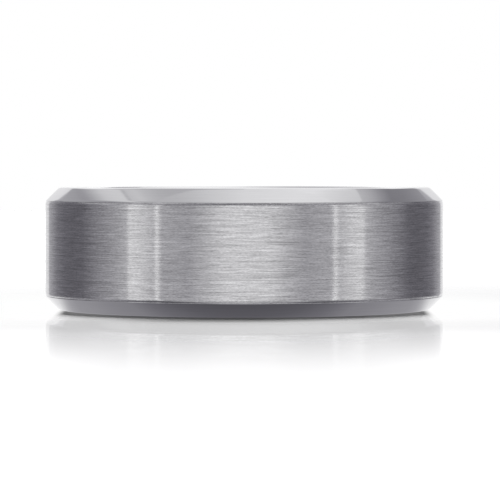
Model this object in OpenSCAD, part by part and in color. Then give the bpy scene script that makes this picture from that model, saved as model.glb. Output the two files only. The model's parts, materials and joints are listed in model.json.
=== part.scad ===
// Plain bevelled wedding band: a satin centre band between two polished, bevelled rims,
// all carried on a comfort-fit liner. Millimetres, +Z along the finger, standing on the
// lower rim, with the origin in the middle of the bore on the plane of its lower end.
// Every piece is a ring, so each module draws half a cross-section in x (radius) and
// y (height) and turns it round the axis.

/* [Band] */
// Bore diameter at its narrowest, a size 9 finger
bore_d = 18.95; // [14:0.05:24]
// Metal from the narrowest bore to the outside
wall_t = 1.925; // [1.85:0.025:2.6]
// Length of the band along the finger
band_w = 7; // [5:0.5:10]

/* [Bevelled rims] */
// Both legs of the 45 degree bevel
bevel = 0.8; // [0.5:0.05:0.95]
// Thickness of the lip that carries the centre band
lip_t = 0.55; // [0.35:0.05:0.6]
// Reach of that lip under the centre band
lip_l = 0.5; // [0.3:0.05:0.8]

/* [Seams] */
// Width that each piece gives to the fine V groove along a seam
seam_w = 0.02; // [0.02:0.01:0.05]
// Depth of that groove
seam_d = 0.06; // [0.06:0.01:0.12]

/* [Comfort-fit liner] */
// Metal of the liner at the narrowest bore
liner_t = 0.725; // [0.6:0.025:0.75]
// Length of the easing curve at each end of the bore
ease_l = 1.7; // [1.2:0.1:2.2]
// How far the bore has opened where the curve meets the end
ease_rise = 0.45; // [0.2:0.05:0.5]

/* [Hidden] */
$fn = 180;
bore_r = bore_d / 2;
outer_r = bore_r + wall_t;
liner_r = bore_r + liner_t;
lip_r = liner_r + lip_t;
end_land_r = outer_r - bevel;
// The circle that is tangent to the bore and has risen ease_rise after ease_l.
ease_r = (ease_l * ease_l + ease_rise * ease_rise) / (2 * ease_rise);

// One end of the liner, from the end plane to where the bore turns cylindrical: the metal
// inside the easing circle and under the liner's outside.
module eased_end_section() {
    intersection() {
        translate([bore_r + ease_r, ease_l]) circle(r = ease_r);
        polygon([
            [bore_r, 0],
            [liner_r - seam_w, 0],
            [liner_r, seam_d],
            [liner_r, ease_l],
            [bore_r, ease_l]
        ]);
    }
}

// Polished inner sleeve over the whole length, eased at both ends for the finger.
module comfort_fit_liner() {
    color([0.76, 0.76, 0.78])
    rotate_extrude()
    union() {
        eased_end_section();
        translate([bore_r, ease_l]) square([liner_t, band_w - 2 * ease_l]);
        translate([0, band_w]) mirror([0, 1]) eased_end_section();
    }
}

// Polished rim as it sits at the lower end: flat end land, 45 degree bevel up to the groove
// at the seam, and the lip that goes under the centre band.
module bevelled_rim() {
    rotate_extrude()
    polygon([
        [liner_r + seam_w, 0],
        [end_land_r, 0],
        [outer_r - seam_w, bevel - seam_w],
        [outer_r - seam_d, bevel],
        [lip_r, bevel],
        [lip_r, bevel + lip_l],
        [liner_r, bevel + lip_l],
        [liner_r, seam_d]
    ]);
}

// Rim that the band stands on, pressed on the liner until its end is flush.
module lower_bevelled_rim() {
    color([0.72, 0.72, 0.74]) bevelled_rim();
}

// Rim at the other end, the same piece turned over.
module upper_bevelled_rim() {
    color([0.72, 0.72, 0.74]) translate([0, 0, band_w]) mirror([0, 0, 1]) bevelled_rim();
}

// Satin band between the rims, counterbored at both ends for their lips.
module satin_centre_band() {
    color([0.6, 0.6, 0.62])
    rotate_extrude()
    polygon([
        [outer_r - seam_d, bevel],
        [outer_r, bevel + seam_w],
        [outer_r, band_w - bevel - seam_w],
        [outer_r - seam_d, band_w - bevel],
        [lip_r, band_w - bevel],
        [lip_r, band_w - bevel - lip_l],
        [liner_r, band_w - bevel - lip_l],
        [liner_r, bevel + lip_l],
        [lip_r, bevel + lip_l],
        [lip_r, bevel]
    ]);
}

comfort_fit_liner();
lower_bevelled_rim();
satin_centre_band();
upper_bevelled_rim();
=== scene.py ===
import math
import bmesh
import bpy
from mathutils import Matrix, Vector, kdtree
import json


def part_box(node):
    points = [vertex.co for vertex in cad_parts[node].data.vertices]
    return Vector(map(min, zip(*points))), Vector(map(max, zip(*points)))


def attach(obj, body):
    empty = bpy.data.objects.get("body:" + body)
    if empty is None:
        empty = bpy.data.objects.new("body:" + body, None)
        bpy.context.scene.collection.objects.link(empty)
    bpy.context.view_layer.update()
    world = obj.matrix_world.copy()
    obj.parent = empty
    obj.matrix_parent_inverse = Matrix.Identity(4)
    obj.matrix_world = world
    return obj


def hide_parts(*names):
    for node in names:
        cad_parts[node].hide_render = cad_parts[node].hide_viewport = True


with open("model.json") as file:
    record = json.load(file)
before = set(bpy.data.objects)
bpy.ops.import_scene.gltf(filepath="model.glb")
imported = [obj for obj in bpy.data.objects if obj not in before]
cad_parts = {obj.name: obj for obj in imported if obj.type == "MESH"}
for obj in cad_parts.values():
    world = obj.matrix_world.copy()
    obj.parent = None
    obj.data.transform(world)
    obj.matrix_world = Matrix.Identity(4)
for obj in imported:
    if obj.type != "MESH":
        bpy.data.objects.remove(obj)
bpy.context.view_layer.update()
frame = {"record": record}

# ---- Comfort-fit liner ------------------------------------------------------------------
# The sleeve against the finger, turned from the same grey alloy as the rest and mirror
# polished. Its bore is cylindrical in the middle and eases open towards both ends; the
# other three pieces are pressed over it, flush with its ends.
MM = 0.001
TURN_STEPS = 512         # corners round every turned piece
WELD = 0.001 * MM        # nearer than any two corners of the real shapes
finger_bore = frame["record"]["mounts"][0]["dims"]
BORE_R = finger_bore["r_mm"] * MM
BAND_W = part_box("comfort_fit_liner")[1].z
LINER_R = round(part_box("comfort_fit_liner")[1].x, 5)
EASE_L = (BAND_W - finger_bore["length_mm"] * MM) / 2
EASE_RISE = 0.45 * MM    # how far the bore has opened at each end
EASE_STEPS = 10
BORE_ROUND = (0.15 * MM, 6)    # size and steps of the rounding where the bore meets an end
SEAM_W = 0.015 * MM      # what each piece gives to the V groove along a seam
SEAM_D = 0.05 * MM       # and how deep that groove is
SEAM_ROUND = (0.01 * MM, 2)    # the rounding beside the groove on the end faces
SMOOTH_UP_TO = math.radians(40)
LINER_ROUGHNESS = 0.12
LINER_DARK = (0.71, 0.708, 0.72)
LINER_LIGHT = (0.75, 0.748, 0.76)


def turned(name, outline):
    """A ring with this outline of (radius, height) corners, drawn round by extruding a circle."""
    bpy.ops.object.select_all(action="DESELECT")
    radius, height = outline[0]
    bpy.ops.mesh.primitive_circle_add(vertices=TURN_STEPS, radius=radius, location=(0, 0, height))
    bpy.ops.object.transform_apply(location=True)
    ring = bpy.context.object
    ring.name = name
    bpy.ops.object.mode_set(mode="EDIT")
    for next_radius, next_height in outline[1:] + outline[:1]:
        rise = next_height - height
        bpy.ops.mesh.extrude_region_move(TRANSFORM_OT_translate={"value": (0, 0, rise)})
        grow = next_radius / radius
        bpy.ops.transform.resize(value=(grow, grow, 1), center_override=(0, 0, next_height))
        radius, height = next_radius, next_height
    bpy.ops.mesh.select_all(action="SELECT")
    bpy.ops.mesh.remove_doubles(threshold=WELD)
    bpy.ops.mesh.normals_make_consistent(inside=False)
    return ring


def crowned(start, end, rise, steps=8):
    """The points between two corners of an outline, on a bow that stands this much proud."""
    run_r, run_z = end[0] - start[0], end[1] - start[1]
    length = math.hypot(run_r, run_z)
    points = []
    for step in range(1, steps):
        share = step / steps
        proud = rise * 4 * share * (1 - share) / length
        radius = start[0] + run_r * share + run_z * proud
        height = start[1] + run_z * share - run_r * proud
        points.append((radius, height))
    return points


def round_corner(ring, radius, height, size, segments):
    """Rounds the corner that runs round the ring at this radius and height, in edit mode."""
    bpy.ops.mesh.select_mode(type="EDGE")
    bpy.ops.mesh.select_all(action="DESELECT")
    mesh = bmesh.from_edit_mesh(ring.data)
    for edge in mesh.edges:
        edge.select = all(
            abs(corner.co.xy.length - radius) < WELD and abs(corner.co.z - height) < WELD
            for corner in edge.verts
        )
    bmesh.update_edit_mesh(ring.data)
    bpy.ops.mesh.bevel(offset=size, segments=segments, affect="EDGES")


def unroll(ring):
    """A UV map for baking: round the band along U, and once round its section along V."""
    mesh = ring.data
    cut = [corner.index for corner in mesh.vertices if corner.co.x > 0 and abs(corner.co.y) < WELD]
    beside = {corner: [] for corner in cut}
    for edge in mesh.edges:
        first, second = edge.vertices
        if first in beside and second in beside:
            beside[first].append(second)
            beside[second].append(first)
    section = [min(beside)]
    while True:
        ahead = [corner for corner in beside[section[-1]] if corner not in section[-2:]]
        if not ahead or ahead[0] == section[0]:
            break
        section.append(ahead[0])
    places = kdtree.KDTree(len(section))
    lengths = [0.0]
    for index, corner in enumerate(section):
        here = mesh.vertices[corner].co
        places.insert((here.x, 0, here.z), index)
        there = mesh.vertices[section[(index + 1) % len(section)]].co
        lengths.append(lengths[-1] + (there - here).length)
    places.balance()
    along = []
    for corner in mesh.vertices:
        nearest = places.find((corner.co.xy.length, 0, corner.co.z))[1]
        along.append(lengths[nearest] / lengths[-1])
    strip = mesh.uv_layers.new(name="OFBake")
    for face in mesh.polygons:
        middle = math.atan2(face.center.y, face.center.x) / math.tau
        heights = [along[corner] for corner in face.vertices]
        crosses = max(heights) - min(heights) > 0.5    # the end and the start of the section
        for loop, corner in zip(face.loop_indices, face.vertices):
            here = mesh.vertices[corner].co
            turn = math.atan2(here.y, here.x) / math.tau
            turn -= round(turn - middle)
            lift = along[corner] + (1 if crosses and along[corner] < 0.5 else 0)
            strip.data[loop].uv = (turn + 0.5, lift)


def finish_turning(ring, body, node, material):
    """Smooths the ring but keeps its flats flat, and puts it in place of its node."""
    bpy.ops.object.mode_set(mode="OBJECT")
    bpy.ops.object.shade_smooth_by_angle(angle=SMOOTH_UP_TO)
    ring.modifiers.new("flats", "WEIGHTED_NORMAL").keep_sharp = True
    bpy.ops.object.modifier_apply(modifier="flats")
    unroll(ring)
    ring.data.materials.append(material)
    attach(ring, body)
    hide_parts(node)


def node_group(name, inputs, outputs):
    """An empty shader group with these sockets, and its input and output nodes."""
    group = bpy.data.node_groups.new(name, "ShaderNodeTree")
    for socket, value in inputs.items():
        made = group.interface.new_socket(socket, in_out="INPUT", socket_type="NodeSocketFloat")
        made.default_value = value
    for socket in outputs:
        group.interface.new_socket(socket, in_out="OUTPUT", socket_type="NodeSocketFloat")
    return group, group.nodes.new("NodeGroupInput"), group.nodes.new("NodeGroupOutput")


def maths(tree, operation, first, second=None):
    """A Math node on links or numbers, and its result."""
    node = tree.nodes.new("ShaderNodeMath")
    node.operation = operation
    for socket, value in zip(node.inputs, (first, second)):
        if isinstance(value, bpy.types.NodeSocket):
            tree.links.new(value, socket)
        elif value is not None:
            socket.default_value = value
    return node.outputs["Value"]


WANDER_SCALE = 0.35 / MM


def lines_group():
    """Fine lines that run round the band: noise on Object coordinates, long round the axis and
    narrow along it, with a slow wander in height."""
    usual = {"Length": 1 * MM, "Width": 0.05 * MM, "Wander": 0.05 * MM, "Depth": 3}
    group, given, result = node_group("turning_lines", usual, ["Lines"])
    links = group.links
    place = group.nodes.new("ShaderNodeTexCoord").outputs["Object"]
    slow = group.nodes.new("ShaderNodeTexNoise")
    slow.inputs["Scale"].default_value = WANDER_SCALE
    slow.inputs["Detail"].default_value = 1
    links.new(place, slow.inputs["Vector"])
    split = group.nodes.new("ShaderNodeSeparateXYZ")
    links.new(place, split.inputs["Vector"])
    drift = maths(group, "MULTIPLY", slow.outputs["Fac"], given.outputs["Wander"])
    joined = group.nodes.new("ShaderNodeCombineXYZ")
    links.new(maths(group, "DIVIDE", split.outputs["X"], given.outputs["Length"]), joined.inputs["X"])
    links.new(maths(group, "DIVIDE", split.outputs["Y"], given.outputs["Length"]), joined.inputs["Y"])
    lifted = maths(group, "ADD", split.outputs["Z"], drift)
    links.new(maths(group, "DIVIDE", lifted, given.outputs["Width"]), joined.inputs["Z"])
    grain = group.nodes.new("ShaderNodeTexNoise")
    grain.inputs["Scale"].default_value = 1
    links.new(given.outputs["Depth"], grain.inputs["Detail"])
    links.new(joined.outputs["Vector"], grain.inputs["Vector"])
    links.new(grain.outputs["Fac"], result.inputs["Lines"])
    return group


turning_lines = lines_group()


def new_metal(name, roughness, anisotropy=0.0):
    """A metal material with its Principled shader, ready for the marks of its finish."""
    material = bpy.data.materials.new(name)
    material.use_nodes = True
    shader = material.node_tree.nodes["Principled BSDF"]
    shader.inputs["Metallic"].default_value = 1
    shader.inputs["Roughness"].default_value = roughness
    shader.inputs["Anisotropic"].default_value = anisotropy
    return material, material.node_tree, shader


def add_lines(tree, length, width, wander, depth):
    """The turning_lines group in this material, with its own values."""
    node = tree.nodes.new("ShaderNodeGroup")
    node.node_tree = turning_lines
    node.inputs["Length"].default_value = length
    node.inputs["Width"].default_value = width
    node.inputs["Wander"].default_value = wander
    node.inputs["Depth"].default_value = depth
    return node.outputs["Lines"]


NOISE_LOW = 0.3          # noise mostly lies between these two
NOISE_HIGH = 0.7


def between(tree, noise, low, high):
    """Low to high as the noise goes over its usual range."""
    node = tree.nodes.new("ShaderNodeMapRange")
    tree.links.new(noise, node.inputs["Value"])
    for socket, value in zip(node.inputs[1:5], (NOISE_LOW, NOISE_HIGH, low, high)):
        socket.default_value = value
    return node.outputs["Result"]


def eased_range(tree, value, low, high, start=0.0, end=1.0):
    """Start to end, gently, as the value goes from low to high."""
    node = tree.nodes.new("ShaderNodeMapRange")
    node.interpolation_type = "SMOOTHSTEP"
    tree.links.new(value, node.inputs["Value"])
    for socket, number in zip(node.inputs[1:5], (low, high, start, end)):
        socket.default_value = number
    return node.outputs["Result"]


def coloured(tree, share, dark, light):
    """A colour from dark to light as share goes from 0 to 1."""
    node = tree.nodes.new("ShaderNodeMix")
    node.data_type = "RGBA"
    tree.links.new(share, node.inputs["Factor"])
    node.inputs["A"].default_value = (*dark, 1)
    node.inputs["B"].default_value = (*light, 1)
    return node.outputs["Result"]


def bumped(tree, height, depth, shader):
    """Feeds the shader's normal from this height, depth metres from low to high."""
    node = tree.nodes.new("ShaderNodeBump")
    node.inputs["Strength"].default_value = 1
    node.inputs["Distance"].default_value = depth
    tree.links.new(height, node.inputs["Height"])
    tree.links.new(node.outputs["Normal"], shader.inputs["Normal"])


BUFF_LINES = (3 * MM, 0.06 * MM, 0.2 * MM, 2)    # length, width, wander and depth
BUFF_DULLING = (0.7, 1.4)      # shares of the roughness in and between the lines
BUFF_DEPTH = 0.0001 * MM


def polished_metal(name, roughness, dark, light):
    """Mirror polish: faint lines left by the buff, mostly seen in the gloss."""
    material, tree, shader = new_metal(name, roughness)
    lines = add_lines(tree, *BUFF_LINES)
    colour = coloured(tree, between(tree, lines, 0, 1), dark, light)
    tree.links.new(colour, shader.inputs["Base Color"])
    least, most = (share * roughness for share in BUFF_DULLING)
    tree.links.new(between(tree, lines, least, most), shader.inputs["Roughness"])
    bumped(tree, lines, BUFF_DEPTH, shader)
    return material


ease_r = (EASE_L**2 + EASE_RISE**2) / (2 * EASE_RISE)    # of the arc that opens the bore
eased = []
for step in range(EASE_STEPS + 1):
    height = EASE_L * step / EASE_STEPS
    eased.append((BORE_R + ease_r - math.sqrt(ease_r**2 - (EASE_L - height) ** 2), height))
liner_end = [(LINER_R, SEAM_D), (LINER_R - SEAM_W, 0)]
half_liner = liner_end + eased
other_half = [(radius, BAND_W - height) for radius, height in reversed(half_liner)]
liner = turned("comfort_fit_liner_polished", half_liner + other_half)
for height in (0, BAND_W):
    round_corner(liner, eased[0][0], height, *BORE_ROUND)
    round_corner(liner, LINER_R - SEAM_W, height, *SEAM_ROUND)
liner_polish = polished_metal("liner_polish", LINER_ROUGHNESS, LINER_DARK, LINER_LIGHT)
finish_turning(liner, "root", "comfort_fit_liner", liner_polish)

# ---- Lower bevelled rim -----------------------------------------------------------------
# The rim that the band stands on: a polished ring with a flat end land and a 45 degree
# bevel, pressed on the liner. Its lip reaches under the centre band and holds it true.
band_low, band_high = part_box("satin_centre_band")
OUTER_R = round(band_high.x, 5)
BEVEL = round(band_low.z, 6)
LIP_T = 0.55 * MM
LIP_R = LINER_R + LIP_T
LIP_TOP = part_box("lower_bevelled_rim")[1].z
END_LAND_R = OUTER_R - BEVEL
CROWN = 0.013 * MM       # polishing leaves the bevel very slightly bowed
LAND_ROUND = (0.1 * MM, 5)     # the rounding between the end land and the bevel
EDGE_ROUND = (0.015 * MM, 3)   # and at the bevel's other edge, beside the groove
RIM_ROUGHNESS = 0.06
RIM_DARK = (0.585, 0.583, 0.597)
RIM_LIGHT = (0.615, 0.613, 0.627)
rim_polish = polished_metal("rim_polish", RIM_ROUGHNESS, RIM_DARK, RIM_LIGHT)
bevel_foot = (END_LAND_R, 0)
bevel_head = (OUTER_R - SEAM_W, BEVEL - SEAM_W)
rim_outline = [
    (LINER_R + SEAM_W, 0),
    bevel_foot,
    *crowned(bevel_foot, bevel_head, CROWN),
    bevel_head,
    (OUTER_R - SEAM_D, BEVEL),
    (LIP_R, BEVEL),
    (LIP_R, LIP_TOP),
    (LINER_R, LIP_TOP),
    (LINER_R, SEAM_D),
]


def bevelled_rim(name, node, place):
    """A rim whose heights above its own end land are put where place says."""
    rim = turned(name, [(radius, place(height)) for radius, height in rim_outline])
    round_corner(rim, END_LAND_R, place(0), *LAND_ROUND)
    round_corner(rim, LINER_R + SEAM_W, place(0), *SEAM_ROUND)
    round_corner(rim, OUTER_R - SEAM_W, place(BEVEL - SEAM_W), *EDGE_ROUND)
    finish_turning(rim, "root", node, rim_polish)


bevelled_rim("lower_bevelled_rim_polished", "lower_bevelled_rim", lambda height: height)

# ---- Satin centre band ------------------------------------------------------------------
# The broad middle ring, the same alloy, drawn round on an abrasive belt so that fine lines
# run all the way round it. It sits over both lips, with a fine groove against each rim.
ROLL_W = 0.045 * MM      # the brushing rolls its edges off this far inwards
ROLL_L = 0.2 * MM        # over this much of its length
ROLL_BOW = 0.011 * MM
GLOSS_TURN = 0.25        # of a turn: the gloss spreads across the lines, not along them
SATIN_DULL = 0.14        # roughness at the bottom of the lines, and on top between them
SATIN_GLOSSY = 0.11
SATIN_DARK = (0.245, 0.243, 0.25)
SATIN_LIGHT = (0.885, 0.881, 0.898)
SATIN_SPREAD = (-0.1, 1.15)    # how far the usual lines go from dark to light
SATIN_DEPTH = 0.002 * MM
SATIN_LINES = [  # the belt's marks: length, width, wander and depth, and their share
    ((0.16 * MM, 0.02 * MM, 0.01 * MM, 2), 0.35),
    ((0.9 * MM, 0.022 * MM, 0.02 * MM, 3), 0.4),
    ((3 * MM, 0.045 * MM, 0.03 * MM, 3), 0.25),
]
SCORES = (3.5 * MM, 0.02 * MM, 0.01 * MM, 1)     # the marks of its few coarse grains
SCORED = (0.3, 0.42, 0.35, 1.0)    # noise below the first is a score, this share as light


def satin_metal():
    """Lines of three sizes and a few deeper scores, with the gloss spread across them."""
    material, tree, shader = new_metal("satin_brush", SATIN_DULL, 1.0)
    shader.inputs["Anisotropic Rotation"].default_value = GLOSS_TURN
    around = tree.nodes.new("ShaderNodeTangent")
    around.direction_type = "RADIAL"
    around.axis = "Z"
    tree.links.new(around.outputs["Tangent"], shader.inputs["Tangent"])
    mixed = 0.0
    for sizes, share in SATIN_LINES:
        mixed = maths(tree, "ADD", mixed, maths(tree, "MULTIPLY", add_lines(tree, *sizes), share))
    deep = eased_range(tree, add_lines(tree, *SCORES), *SCORED)
    lightness = maths(tree, "MULTIPLY", between(tree, mixed, *SATIN_SPREAD), deep)
    colour = coloured(tree, lightness, SATIN_DARK, SATIN_LIGHT)
    tree.links.new(colour, shader.inputs["Base Color"])
    tree.links.new(between(tree, mixed, SATIN_DULL, SATIN_GLOSSY), shader.inputs["Roughness"])
    bumped(tree, mixed, SATIN_DEPTH, shader)
    return material


roll_start = (OUTER_R - ROLL_W, BEVEL + SEAM_W)
roll_end = (OUTER_R, BEVEL + ROLL_L)
half_centre = [
    (LINER_R, LIP_TOP),
    (LIP_R, LIP_TOP),
    (LIP_R, BEVEL),
    (OUTER_R - SEAM_D, BEVEL),
    roll_start,
    *crowned(roll_start, roll_end, ROLL_BOW),
    roll_end,
]
other_half = [(radius, BAND_W - height) for radius, height in reversed(half_centre)]
centre = turned("satin_centre_band_brushed", half_centre + other_half)
finish_turning(centre, "root", "satin_centre_band", satin_metal())

# ---- Upper bevelled rim -----------------------------------------------------------------
# The other rim, the same piece turned over and pressed on last, which locks the centre
# band between the two.
bevelled_rim("upper_bevelled_rim_polished", "upper_bevelled_rim", lambda height: BAND_W - height)

# ---- Floor ------------------------------------------------------------------------------
# A sheet of glossy white acrylic under a strip light that hangs overhead and behind. It
# gives back an image of the band that fades towards the camera.
FLOOR_R = 0.4
FLOOR_STEPS = 128
MIRROR_IN = (11.4 * MM, 18 * MM)      # where its gloss starts, out from the axis
MIRROR_OUT = (24 * MM, 66 * MM)       # and where it ends
MIRROR = 0.5                          # the most that it mirrors, from 0 to 1
MIRROR_ROUGHNESS = 0.02
BOARD = 0.206                         # the white board's own reflectance
UNDER_BAND = (12.6 * MM, 13.6 * MM)   # how far out the painted glow under the band reaches in its reflections
UNDER_GLOW = [  # mm behind the axis, and the floor's painted brightness right under the band there: painted shade and light, seen only in its reflections
    (-12.6, 0.8), (-11.8, 0.32), (-11.4, 0.13), (-10.6, 0.175), (-9.9, 0.245), (-9.2, 0.34),
    (-7.0, 0.42), (-5.5, 0.44), (-4.6, 0.50), (-4.0, 0.6), (-3.3, 0.78), (-2.4, 0.95), (0, 1.0),
]
BESIDE = (9.9 * MM, 10.6 * MM)        # sideways: beside the band the board glows, painted light over its shade there, from here back, and less and less further out a little of that painted light also gets in under both sides, this far out
BESIDE_BACK = (-20 * MM, -10 * MM)    # from here back,
BESIDE_OUT = (14 * MM, 26 * MM, 1, 0)      # and less and less further out
PAINTED_LEAK = (5 * MM, 9.6 * MM, 0, 0.12)    # a little of that light gets in under both sides,
PAINTED_LEAK_OUT = (10.8 * MM, 12.2 * MM, 1, 0)    # this far out
SHADE_AT = (-1.3 * MM, -13.3 * MM, 0)      # in front of the band a painted shade darkens the board, longer sideways than forwards from its middle to its edge
SHADE_SQUASH = (0.5, 1, 1)            # longer sideways than forwards
SHADE = (0.8 * MM, 3.6 * MM, 0.58, 1)      # from its middle to its edge
SIDES = (4.5 * MM, 8 * MM)            # far in front, the board is painted whiter to both sides, painted light beside the shade
SIDES_FRONT = (-28 * MM, -20 * MM, 0.14, 0)
STRIP_W = 0.4
STRIP_L = 1.8
STRIP_ENERGY = 310
STRIP_AT = (0, 1.15, 2)
STRIP_TILT = math.radians(-30)        # it hangs behind the band and leans towards it
bpy.ops.object.select_all(action="DESELECT")
bpy.ops.mesh.primitive_circle_add(vertices=FLOOR_STEPS, radius=FLOOR_R, fill_type="NGON")
floor = bpy.context.object
floor.name = "floor"
COOL = 0.022             # how much bluer the dimmer parts of the room are


def cooled(light):
    """This brightness as a colour: slightly blue when dim, and neutral at black and at white."""
    cool = min(COOL, 0.1 * light, max(0, 1.5 * COOL * (1.15 - light)))
    return (light - 0.15 * cool, light - 0.4 * cool, light + 0.75 * cool, 1)


def ramp(tree, value, stops):
    """Brightness by this value, through these stops."""
    low, high = stops[0][0], stops[-1][0]
    node = tree.nodes.new("ShaderNodeMapRange")
    tree.links.new(value, node.inputs["Value"])
    node.inputs["From Min"].default_value = low
    node.inputs["From Max"].default_value = high
    band = tree.nodes.new("ShaderNodeValToRGB")
    tree.links.new(node.outputs["Result"], band.inputs["Fac"])
    points = band.color_ramp.elements
    points.remove(points[1])
    for at, light in stops:
        share = (at - low) / (high - low)
        point = points[0] if at == low else points.new(share)
        point.position = share
        point.color = cooled(light)
    return band.outputs["Color"]


def mixed_shader(tree, share, first, second):
    """First to second shader by this share."""
    node = tree.nodes.new("ShaderNodeMixShader")
    tree.links.new(share, node.inputs["Fac"])
    tree.links.new(first, node.inputs[1])
    tree.links.new(second, node.inputs[2])
    return node.outputs["Shader"]


def acrylic():
    """White board under a face that mirrors, with painted shade in front of the band and painted light
    beside it. In its own reflections the band meets the floor right under it, shown as a painted glow
    that stands in for its shade, and past that the studio."""
    material = bpy.data.materials.new("acrylic")
    material.use_nodes = True
    tree = material.node_tree
    links = tree.links
    tree.nodes.remove(tree.nodes["Principled BSDF"])
    place = tree.nodes.new("ShaderNodeTexCoord").outputs["Object"]
    reach = tree.nodes.new("ShaderNodeVectorMath")
    reach.operation = "LENGTH"
    links.new(place, reach.inputs[0])
    out = reach.outputs["Value"]
    fading = eased_range(tree, out, *MIRROR_OUT, MIRROR, 0)
    gloss = maths(tree, "MULTIPLY", eased_range(tree, out, *MIRROR_IN), fading)
    board = tree.nodes.new("ShaderNodeBsdfDiffuse")
    split = tree.nodes.new("ShaderNodeSeparateXYZ")
    links.new(place, split.inputs["Vector"])
    sideways = maths(tree, "ABSOLUTE", split.outputs["X"])
    # painted shade: the board's colour is darkened in a soft patch in front of the band
    squashed = tree.nodes.new("ShaderNodeVectorMath")
    squashed.operation = "MULTIPLY"
    links.new(place, squashed.inputs[0])
    squashed.inputs[1].default_value = SHADE_SQUASH
    from_shade = tree.nodes.new("ShaderNodeVectorMath")
    from_shade.operation = "DISTANCE"
    links.new(squashed.outputs["Vector"], from_shade.inputs[0])
    from_shade.inputs[1].default_value = (SHADE_SQUASH[0] * SHADE_AT[0], *SHADE_AT[1:])
    shade = eased_range(tree, from_shade.outputs["Value"], *SHADE)
    # painted light: far in front, the board's colour is lifted to both sides
    to_front = eased_range(tree, split.outputs["Y"], *SIDES_FRONT)
    whiter = maths(tree, "MULTIPLY", eased_range(tree, sideways, *SIDES), to_front)
    whiteness = maths(tree, "MULTIPLY", shade, maths(tree, "ADD", whiter, 1.0))
    links.new(maths(tree, "MULTIPLY", whiteness, BOARD), board.inputs["Color"])
    mirror = tree.nodes.new("ShaderNodeBsdfGlossy")
    mirror.inputs["Roughness"].default_value = MIRROR_ROUGHNESS
    faced = mixed_shader(tree, gloss, board.outputs["BSDF"], mirror.outputs["BSDF"])
    # painted light: an emission beside the band and a little under its sides, over its shade there
    lit = tree.nodes.new("ShaderNodeEmission")
    to_back = eased_range(tree, split.outputs["Y"], *BESIDE_BACK)
    beside = maths(tree, "MULTIPLY", eased_range(tree, sideways, *BESIDE), to_back)
    beside = maths(tree, "MULTIPLY", beside, eased_range(tree, out, *BESIDE_OUT))
    painted_leak_ends = eased_range(tree, out, *PAINTED_LEAK_OUT)
    painted_leak = maths(tree, "MULTIPLY", eased_range(tree, sideways, *PAINTED_LEAK), painted_leak_ends)
    beside = maths(tree, "MAXIMUM", beside, painted_leak)
    faced = mixed_shader(tree, beside, faced, lit.outputs["Emission"])
    # painted shade and light under the band: an emission seen only in the band's first reflections,
    # dark under its front and brighter towards the back
    glow = tree.nodes.new("ShaderNodeEmission")
    behind = maths(tree, "DIVIDE", split.outputs["Y"], MM)
    links.new(ramp(tree, behind, UNDER_GLOW), glow.inputs["Color"])
    ray = tree.nodes.new("ShaderNodeLightPath")
    near = maths(tree, "SUBTRACT", 1.0, eased_range(tree, out, *UNDER_BAND))
    first = maths(tree, "LESS_THAN", ray.outputs["Ray Depth"], 1.5)
    clear = tree.nodes.new("ShaderNodeBsdfTransparent")
    under = maths(tree, "MULTIPLY", near, first)
    met = mixed_shader(tree, under, clear.outputs["BSDF"], glow.outputs["Emission"])
    shown = mixed_shader(tree, ray.outputs["Is Glossy Ray"], faced, met)
    links.new(shown, tree.nodes["Material Output"].inputs["Surface"])
    return material


floor.data.materials.append(acrylic())
strip = bpy.data.objects.new("strip_light", bpy.data.lights.new("strip_light", "AREA"))
bpy.context.scene.collection.objects.link(strip)
strip.data.shape = "RECTANGLE"
strip.data.size = STRIP_W
strip.data.size_y = STRIP_L
strip.data.energy = STRIP_ENERGY
strip.location = STRIP_AT
strip.rotation_euler = (STRIP_TILT, 0, 0)
strip.visible_glossy = False

# ---- Studio light -----------------------------------------------------------------------
# A white room with softer and darker panels round the table. The walls go by the angle from
# the camera's side, alike on the left and the right. Overhead hangs a large softbox, with
# brighter and darker panels behind it and a dark stretch in front of it.
WALLS = [  # degrees from the camera's side, brightness
    (0, 0.985), (11, 0.975), (17, 0.86), (24, 0.69), (33, 0.52), (44, 0.57), (49, 0.59),
    (50.6, 0.61), (51.3, 1.15), (52.0, 1.42), (52.7, 0.95), (53.4, 0.72), (55, 0.73),
    (57.5, 0.80), (61, 0.89), (65, 0.96), (70.75, 1.02), (71.65, 0.69), (80, 0.54),
    (90, 0.415), (100, 0.29), (108, 0.196), (118, 0.182), (128, 0.205), (138, 0.27),
    (150, 0.45), (155.5, 0.51), (157.5, 0.87), (172, 0.9), (176, 1.05), (180, 1.05),
]
ROOM_TURN = 1.5          # degrees that the room is turned to the right
WALL_GLOW = (0.1, 0.3, 1.0, 1.12)    # walls get brighter between these two sines of height
WALL_TOP = (0.37, 0.385)             # and meet the ceiling here
FRONT_ABOVE = [(0, 0.25), (48, 0.25), (62, 0.5), (180, 0.6)]    # before the softbox, by the same angle
FRONT_BELOW = [(0, 1.0), (48, 1.0), (62, 0.9), (180, 0.8)]      # and in its image below
SOFTBOX = [  # sideways over upwards, brightness
    (-1.0, 0.6), (-0.8, 0.7), (-0.55, 0.72), (-0.43, 0.73), (-0.36, 0.755), (-0.276, 0.82),
    (-0.19, 0.92), (-0.1, 1.0), (0.0, 1.10), (0.28, 1.18), (0.55, 1.1), (0.8, 0.75), (1.0, 0.6),
]
FRONT_EDGE = (-1.0, -0.9)      # backwards over upwards, where the softbox starts
BACK_EDGE = (0.125, 0.14)      # and where it ends
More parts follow.
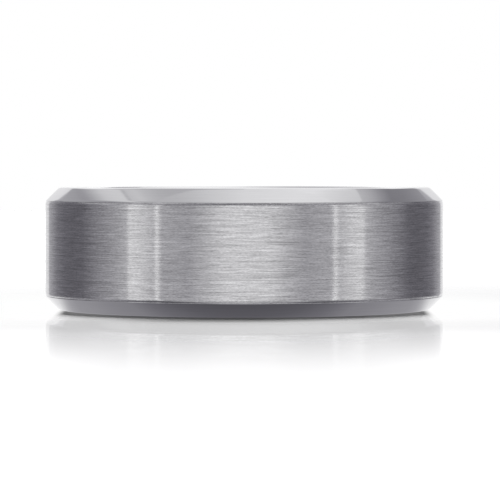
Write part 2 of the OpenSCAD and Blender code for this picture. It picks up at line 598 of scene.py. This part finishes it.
LEFT_BACK = [  # sideways over upwards, brightness, as are the next panels
    (-1.5, 0.6), (-1.15, 0.52), (-1.0, 0.50), (-0.95, 0.47), (-0.91, 0.50), (-0.87, 0.60),
    (-0.825, 0.74), (-0.785, 0.88), (-0.73, 0.94), (-0.66, 0.96), (-0.65, 0.70),
    (-0.638, 0.70), (-0.63, 0.82), (-0.575, 0.87), (-0.53, 0.78), (-0.45, 0.69),
    (-0.40, 0.67), (-0.2, 0.68), (0.1, 1.1),
]
RIGHT_BACK = [
    (0.0, 1.12), (0.28, 1.21), (0.364, 1.2), (0.45, 1.09), (0.534, 1.0), (0.62, 0.93), (0.7, 0.9),
]
RIGHT_SLANT = 0.66             # how far the panel past it slants, sideways over backwards,
RIGHT_EDGE = (0.895, 0.905)    # and where its edge is on that slant
PAST_RIGHT = [  # along a slant of its own
    (0.583, 0.76), (0.78, 0.76), (0.918, 0.70), (1.033, 0.59), (1.157, 0.44), (1.307, 0.32),
    (1.583, 0.33), (2.0, 0.38), (2.4, 0.42), (3.2, 0.50), (4.5, 0.6),
]
PAST_SLANT = 0.6
REAR = (1.15, 1.25)            # from here back the panels between the sides are bright
REAR_SIDE = (0.62, 0.72, 1, 0)    # and this far to both sides
REAR_LIGHT = 1.3
LOWEST = 0.2                   # sine of height below which the panels go on unchanged
BELOW = 0.45                   # share of the ceiling's light that comes back from below


def blended(tree, share, first, second):
    """First to second colour by this share."""
    node = tree.nodes.new("ShaderNodeMix")
    node.data_type = "RGBA"
    tree.links.new(share, node.inputs["Factor"])
    for socket, value in ((node.inputs["A"], first), (node.inputs["B"], second)):
        if isinstance(value, bpy.types.NodeSocket):
            tree.links.new(value, socket)
        else:
            socket.default_value = (value, value, value, 1)
    return node.outputs["Result"]


def studio():
    """The world: plain white behind everything, and the room, with its image below, in what
    the band reflects."""
    world = bpy.data.worlds.new("studio")
    bpy.context.scene.world = world
    world.use_nodes = True
    tree = world.node_tree
    links = tree.links
    split = tree.nodes.new("ShaderNodeSeparateXYZ")
    links.new(tree.nodes.new("ShaderNodeTexCoord").outputs["Generated"], split.inputs["Vector"])
    x, y, z = (split.outputs[axis] for axis in "XYZ")
    height = maths(tree, "ABSOLUTE", z)
    rise = maths(tree, "MAXIMUM", height, LOWEST)
    bearing = maths(tree, "ARCTAN2", x, maths(tree, "MULTIPLY", y, -1.0))
    bearing = maths(tree, "DEGREES", bearing)
    turn = maths(tree, "ABSOLUTE", maths(tree, "SUBTRACT", bearing, ROOM_TURN))
    across = maths(tree, "DIVIDE", x, rise)
    back = maths(tree, "DIVIDE", y, rise)
    above = maths(tree, "GREATER_THAN", z, 0.0)
    front = blended(tree, above, ramp(tree, turn, FRONT_BELOW), ramp(tree, turn, FRONT_ABOVE))
    ceiling = blended(tree, eased_range(tree, back, *FRONT_EDGE), front, ramp(tree, across, SOFTBOX))
    slanted = maths(tree, "ADD", across, maths(tree, "MULTIPLY", back, RIGHT_SLANT))
    right = maths(tree, "GREATER_THAN", across, 0.0)
    behind = blended(tree, right, ramp(tree, across, LEFT_BACK), ramp(tree, across, RIGHT_BACK))
    past = maths(tree, "ADD", across, maths(tree, "MULTIPLY", back, PAST_SLANT))
    past = ramp(tree, past, PAST_RIGHT)
    behind = blended(tree, eased_range(tree, slanted, *RIGHT_EDGE), behind, past)
    middle = eased_range(tree, maths(tree, "ABSOLUTE", across), *REAR_SIDE)
    rear = maths(tree, "MULTIPLY", eased_range(tree, back, *REAR), middle)
    behind = blended(tree, rear, behind, REAR_LIGHT)
    ceiling = blended(tree, eased_range(tree, back, *BACK_EDGE), ceiling, behind)
    glow = eased_range(tree, height, *WALL_GLOW)
    lit = tree.nodes.new("ShaderNodeVectorMath")
    lit.operation = "SCALE"
    links.new(ramp(tree, turn, WALLS), lit.inputs["Vector"])
    links.new(glow, lit.inputs["Scale"])
    room = blended(tree, eased_range(tree, height, *WALL_TOP), lit.outputs["Vector"], ceiling)
    dimmed = eased_range(tree, z, -WALL_TOP[1], -WALL_TOP[0], BELOW, 1)
    room = blended(tree, dimmed, 0.0, room)
    seen = tree.nodes.new("ShaderNodeLightPath").outputs["Is Camera Ray"]
    links.new(blended(tree, seen, room, 1.0), tree.nodes["Background"].inputs["Color"])


studio()

# ---- Camera -----------------------------------------------------------------------------
# A long lens a little above the top of the band, aimed slightly down, with the band just
# left of the middle.
CAMERA_AT = Vector((0.33, -175, 8.1)) * MM
AIM_Z = 3.38 * MM
LENS = 219.3             # mm, on a sensor 36 mm wide
SENSOR_W = 36
camera = bpy.data.objects.new("camera", bpy.data.cameras.new("camera"))
bpy.context.scene.collection.objects.link(camera)
camera.data.lens = LENS
camera.data.sensor_width = SENSOR_W
camera.data.clip_start = 10 * MM
camera.location = CAMERA_AT
tilt = math.atan2(AIM_Z - CAMERA_AT.z, -CAMERA_AT.y)
camera.rotation_euler = (math.pi / 2 + tilt, 0, 0)
bpy.context.scene.camera = camera
bpy.context.scene.view_settings.view_transform = "Standard"
